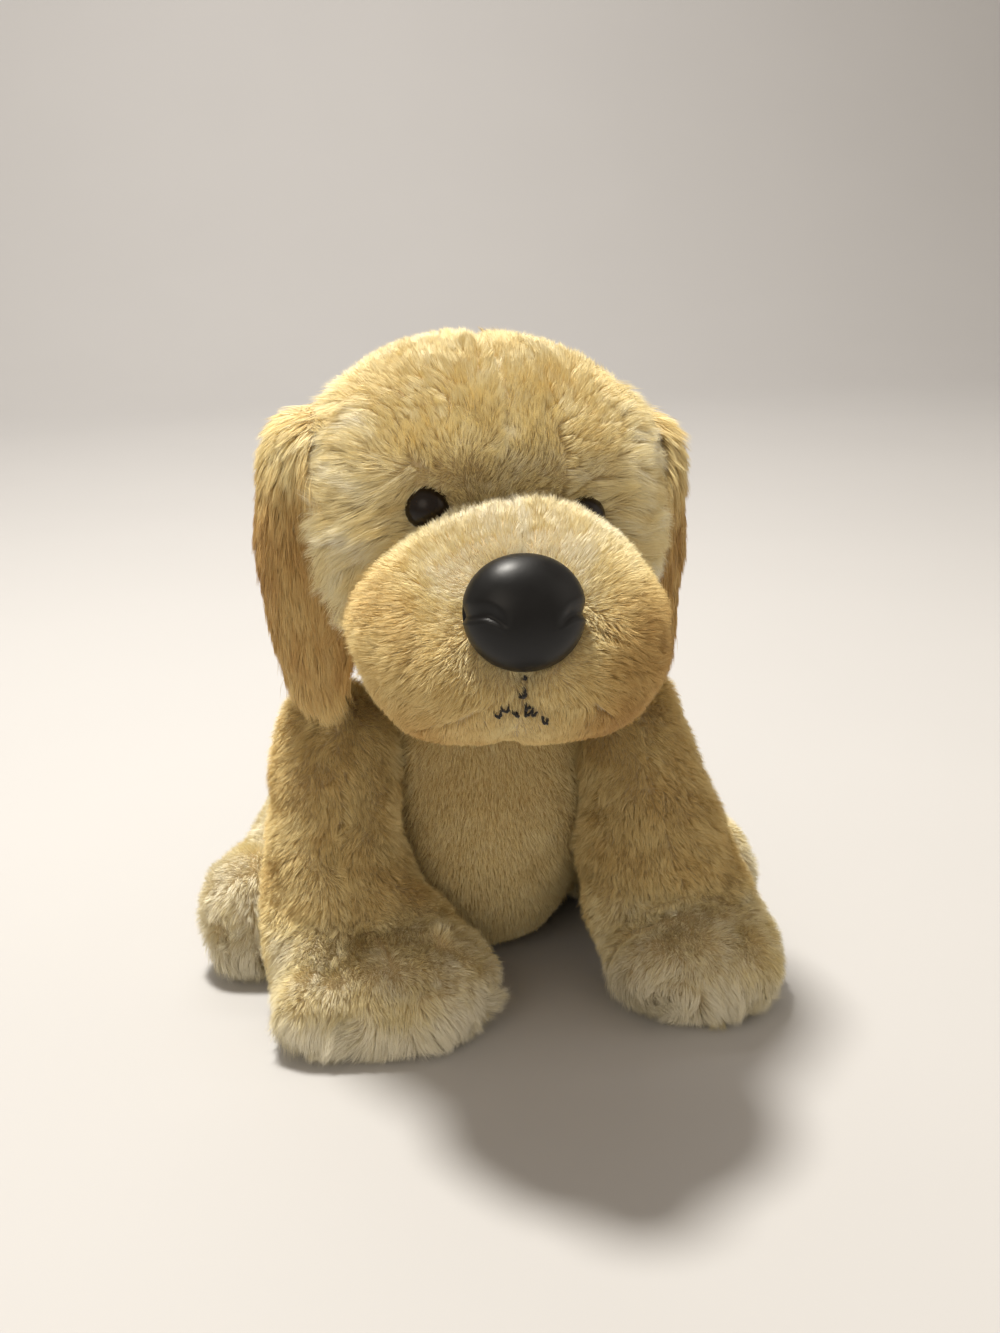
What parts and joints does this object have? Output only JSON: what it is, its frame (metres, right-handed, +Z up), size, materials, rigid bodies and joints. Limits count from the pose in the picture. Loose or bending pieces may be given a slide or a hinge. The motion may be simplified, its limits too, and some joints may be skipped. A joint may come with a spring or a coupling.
{
  "type": "plush dog",
  "caption": "Sitting soft-toy dog with a big head, broad muzzle, hard nose and eyes, hanging ears, wide front paws, splayed hind legs and a short tail.",
  "frame": {"origin": "on the floor under the middle of the object's box", "axes": "+Z up, the dog faces -Y, +X is the dog's own left side"},
  "size_m": [0.162, 0.2049, 0.1828],
  "materials": {
    "coat_cream": "short plush pile",
    "belly_cream": "short even plush pile",
    "crown_cream": "short plush pile",
    "cheek_cream": "longer silky plush pile",
    "muzzle_cream": "dense plush pile",
    "chin_cream": "short plush pile",
    "ear_gold": "long silky plush pile",
    "ear_lining": "plush pile",
    "leg_cream": "plush pile, longer round the paws",
    "filling": "polyester fibre filling",
    "beans": "pellets in a cloth pouch",
    "nose_black": "satin",
    "eye_black": "polished",
    "washer_white": "moulded",
    "thread_black": "embroidery thread",
    "thread_cream": "sewing thread"
  },
  "bodies": {
    "torso": {"back_panel_left": "coat_cream", "back_panel_right": "coat_cream", "belly_panel": "belly_cream", "torso_filling": "filling", "bean_pouch": "beans"},
    "neck": {"neck_seam": "thread_cream"},
    "head": {"head_gusset": "crown_cream", "head_side_left": "cheek_cream", "head_side_right": "cheek_cream", "head_filling": "filling", "muzzle_panel_left": "muzzle_cream", "muzzle_panel_right": "muzzle_cream", "chin_panel": "chin_cream", "muzzle_filling": "filling", "nose": "nose_black", "nose_washer": "washer_white", "eye_left": "eye_black", "eye_right": "eye_black", "eye_washer_left": "washer_white", "eye_washer_right": "washer_white", "mouth_stitch_centre": "thread_black", "mouth_stitch_left": "thread_black", "mouth_stitch_right": "thread_black"},
    "ear_left": {"ear_left_outer": "ear_gold", "ear_left_lining": "ear_lining"},
    "ear_right": {"ear_right_outer": "ear_gold", "ear_right_lining": "ear_lining"},
    "tail": {"tail_cover_left": "coat_cream", "tail_cover_right": "coat_cream", "tail_filling": "filling"},
    "front_leg_left": {"front_leg_left_cover_outer": "leg_cream", "front_leg_left_cover_inner": "leg_cream", "front_leg_left_filling": "filling", "paw_beans_left": "beans"},
    "hind_leg_left": {"hind_leg_left_cover_outer": "leg_cream", "hind_leg_left_cover_inner": "leg_cream", "hind_leg_left_filling": "filling"},
    "front_leg_right": {"front_leg_right_cover_outer": "leg_cream", "front_leg_right_cover_inner": "leg_cream", "front_leg_right_filling": "filling", "paw_beans_right": "beans"},
    "hind_leg_right": {"hind_leg_right_cover_outer": "leg_cream", "hind_leg_right_cover_inner": "leg_cream", "hind_leg_right_filling": "filling"}
  },
  "joints": [
    {"name": "neck_turn", "type": "hinge", "parent": "torso", "child": "neck", "pos_m": [-0.0015, -0.00845, 0.0955], "axis": [0, 0, 1], "range_deg": [-25, 25]},
    {"name": "head_nod", "type": "hinge", "parent": "neck", "child": "head", "pos_m": [-0.0015, -0.00845, 0.0955], "axis": [0.9994, 0.0349, 0], "range_deg": [-12, 12]},
    {"name": "ear_left_swing", "type": "hinge", "parent": "head", "child": "ear_left", "pos_m": [0.03787, -0.01592, 0.16163], "axis": [0.0349, -0.9994, 0], "range_deg": [0, 95]},
    {"name": "ear_right_swing", "type": "hinge", "parent": "head", "child": "ear_right", "pos_m": [-0.0464, -0.01886, 0.16531], "axis": [-0.0349, 0.9994, 0], "range_deg": [0, 95]},
    {"name": "front_leg_left_swing", "type": "hinge", "parent": "torso", "child": "front_leg_left", "pos_m": [0.0385, -0.00245, 0.078], "axis": [-1, 0, 0], "range_deg": [0, 45]},
    {"name": "front_leg_right_swing", "type": "hinge", "parent": "torso", "child": "front_leg_right", "pos_m": [-0.044, -0.00345, 0.078], "axis": [-1, 0, 0], "range_deg": [0, 45]},
    {"name": "hind_leg_left_splay", "type": "hinge", "parent": "torso", "child": "hind_leg_left", "pos_m": [0.04, 0.05655, 0.024], "axis": [0, 0, 1], "range_deg": [0, 24]},
    {"name": "hind_leg_right_splay", "type": "hinge", "parent": "torso", "child": "hind_leg_right", "pos_m": [-0.04, 0.05655, 0.024], "axis": [0, 0, -1], "range_deg": [0, 24]},
    {"name": "tail_wag", "type": "hinge", "parent": "torso", "child": "tail", "pos_m": [0, 0.07655, 0.015], "axis": [0, 0, 1], "range_deg": [-25, 25]}
  ]
}
